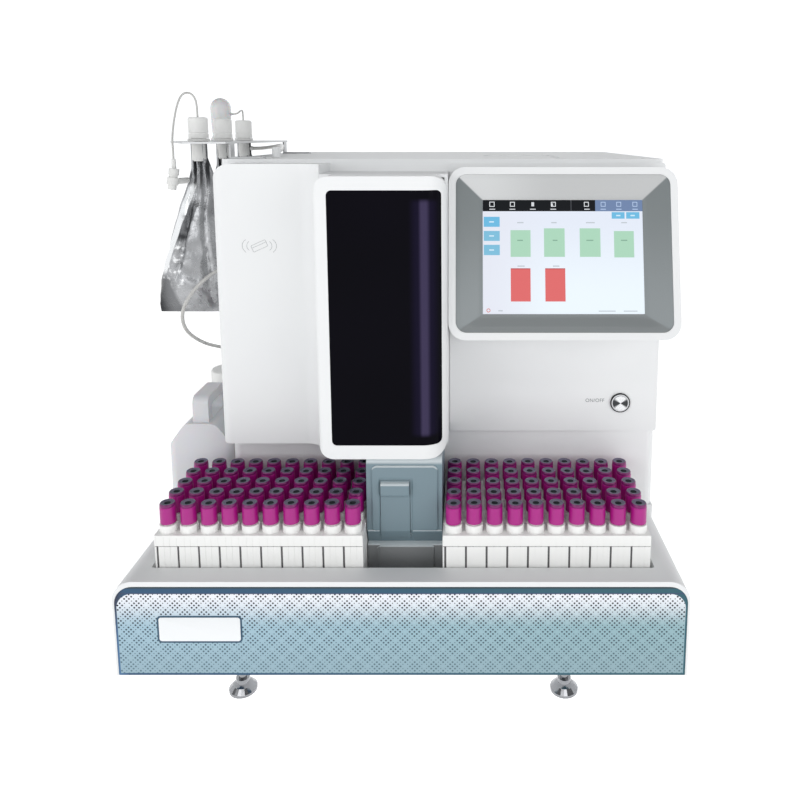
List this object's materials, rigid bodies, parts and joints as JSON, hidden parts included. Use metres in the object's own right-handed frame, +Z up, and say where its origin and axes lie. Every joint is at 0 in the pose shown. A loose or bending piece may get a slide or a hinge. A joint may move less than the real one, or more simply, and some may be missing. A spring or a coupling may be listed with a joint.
{
  "type": "glycohemoglobin analyzer",
  "caption": "Bench-top analyzer with loaded tube racks, dark swinging front door, tilted touch screen, side shelf of reagent pouches and a waste canister.",
  "frame": {"origin": "middle of the footprint without the free tubes, on the bench", "axes": "+Z up, -Y towards the operator, +X to the operator's right"},
  "size_m": [0.575, 0.5006, 0.588],
  "materials": {
    "case_white": "fine satin moulded",
    "fascia_print": "printed dots under a clear gloss",
    "chrome_foot": "bright turned",
    "rack_white": "moulded",
    "tube_blood": "clear plastic over blood",
    "cap_magenta": "ribbed moulded",
    "slate_grey": "satin moulded",
    "smoked_window": "deep violet gloss",
    "bezel_grey": "metallic grey paint",
    "screen_face": "lit display under smooth glass",
    "chrome_button": "bright turned",
    "panel_grey": "powder coat",
    "black_plastic": "moulded",
    "stainless": "brushed sheet",
    "foil_pouch": "crumpled metallised film",
    "cap_white": "moulded",
    "trap_grey": "translucent grey",
    "milky_plastic": "translucent blow-moulded",
    "clear_tubing": "translucent extruded",
    "machined_alloy": "bead-blasted",
    "board_green": "lacquered board"
  },
  "bodies": {
    "machine": {"base_housing": "case_white", "front_fascia": "fascia_print", "rack_left_1": "rack_white", "rack_left_2": "rack_white", "rack_left_3": "rack_white", "rack_left_4": "rack_white", "rack_left_5": "rack_white", "rack_right_1": "rack_white", "rack_right_2": "rack_white", "rack_right_3": "rack_white", "rack_right_4": "rack_white", "rack_right_5": "rack_white", "sample_tubes": "tube_blood", "tube_caps": "cap_magenta", "feeder_housing": "slate_grey", "main_housing": "case_white", "right_front_panel": "case_white", "left_cover": "case_white", "tower_frame": "case_white", "monitor_housing": "case_white", "screen_bezel": "bezel_grey", "touch_screen": "screen_face", "button_bezel": "chrome_button", "rear_panel": "panel_grey", "fan_frame": "black_plastic", "power_inlet": "black_plastic", "pouch_shelf": "stainless", "pouch_front": "foil_pouch", "pouch_middle": "foil_pouch", "pouch_back": "foil_pouch", "bubble_trap": "trap_grey", "drain_fitting": "trap_grey", "waste_canister": "milky_plastic", "loop_tube": "clear_tubing", "trap_tube": "clear_tubing", "supply_tube": "clear_tubing", "waste_tube": "clear_tubing", "probe_rail": "stainless", "column_oven": "machined_alloy", "injection_valve": "machined_alloy", "delivery_pump": "machined_alloy", "detector": "black_plastic", "power_supply": "panel_grey", "control_board": "board_green"},
    "door": {"door_frame": "case_white", "door_window": "smoked_window"},
    "flap": {"stat_flap": "slate_grey"},
    "button": {"button_cap": "chrome_button"},
    "lid": {"top_lid": "case_white"},
    "carriage": {"probe_carriage": "machined_alloy"},
    "probe": {"probe_head": "machined_alloy"},
    "rotor": {"fan_rotor": "black_plastic"},
    "left_front_foot": {"foot_front_left": "chrome_foot"},
    "right_front_foot": {"foot_front_right": "chrome_foot"},
    "left_back_foot": {"foot_back_left": "chrome_foot"},
    "right_back_foot": {"foot_back_right": "chrome_foot"},
    "front_cap": {"screw_cap_front": "cap_white"},
    "middle_cap": {"screw_cap_middle": "cap_white"},
    "back_cap": {"screw_cap_back": "cap_white"},
    "waste_cap": {"canister_cap": "cap_white"}
  },
  "joints": [
    {"name": "door_hinge", "type": "hinge", "parent": "machine", "child": "door", "pos_m": [-0.063, -0.17305, 0.262], "axis": [0, 0, -1], "range_deg": [0, 90]},
    {"name": "flap_hinge", "type": "hinge", "parent": "machine", "child": "flap", "pos_m": [0.0035, -0.19575, 0.14], "axis": [1, 0, 0], "range_deg": [0, 55]},
    {"name": "button_press", "type": "slide", "parent": "machine", "child": "button", "axis": [0, 1, 0], "range_m": [0, 0.0025], "stiffness_N_per_m": 400},
    {"name": "lid_hinge", "type": "hinge", "parent": "machine", "child": "lid", "pos_m": [0.0505, 0.23525, 0.51075], "axis": [-1, 0, 0], "range_deg": [0, 70]},
    {"name": "carriage_slide", "type": "slide", "parent": "machine", "child": "carriage", "axis": [0, 1, 0], "range_m": [0, 0.08]},
    {"name": "probe_slide", "type": "slide", "parent": "carriage", "child": "probe", "axis": [0, 0, -1], "range_m": [0, 0.045]},
    {"name": "fan_spin", "type": "hinge", "parent": "machine", "child": "rotor", "pos_m": [-0.1075, 0.23425, 0.42], "axis": [0, 1, 0], "continuous": true},
    {"name": "left_front_foot_turn", "type": "hinge", "parent": "machine", "child": "left_front_foot", "pos_m": [-0.1445, -0.23425, 0.027], "axis": [0, 0, 1], "continuous": true},
    {"name": "right_front_foot_turn", "type": "hinge", "parent": "machine", "child": "right_front_foot", "pos_m": [0.1695, -0.23425, 0.027], "axis": [0, 0, 1], "continuous": true},
    {"name": "left_back_foot_turn", "type": "hinge", "parent": "machine", "child": "left_back_foot", "pos_m": [-0.1445, 0.21975, 0.027], "axis": [0, 0, 1], "continuous": true},
    {"name": "right_back_foot_turn", "type": "hinge", "parent": "machine", "child": "right_back_foot", "pos_m": [0.1695, 0.21975, 0.027], "axis": [0, 0, 1], "continuous": true},
    {"name": "front_cap_turn", "type": "hinge", "parent": "machine", "child": "front_cap", "pos_m": [-0.2275, -0.05025, 0.53], "axis": [0, 0, 1], "continuous": true},
    {"name": "middle_cap_turn", "type": "hinge", "parent": "machine", "child": "middle_cap", "pos_m": [-0.2275, 0.03575, 0.53], "axis": [0, 0, 1], "continuous": true},
    {"name": "back_cap_turn", "type": "hinge", "parent": "machine", "child": "back_cap", "pos_m": [-0.2275, 0.12175, 0.53], "axis": [0, 0, 1], "continuous": true},
    {"name": "waste_cap_turn", "type": "hinge", "parent": "machine", "child": "waste_cap", "pos_m": [-0.228, 0.01975, 0.213], "axis": [0, 0, 1], "continuous": true}
  ]
}
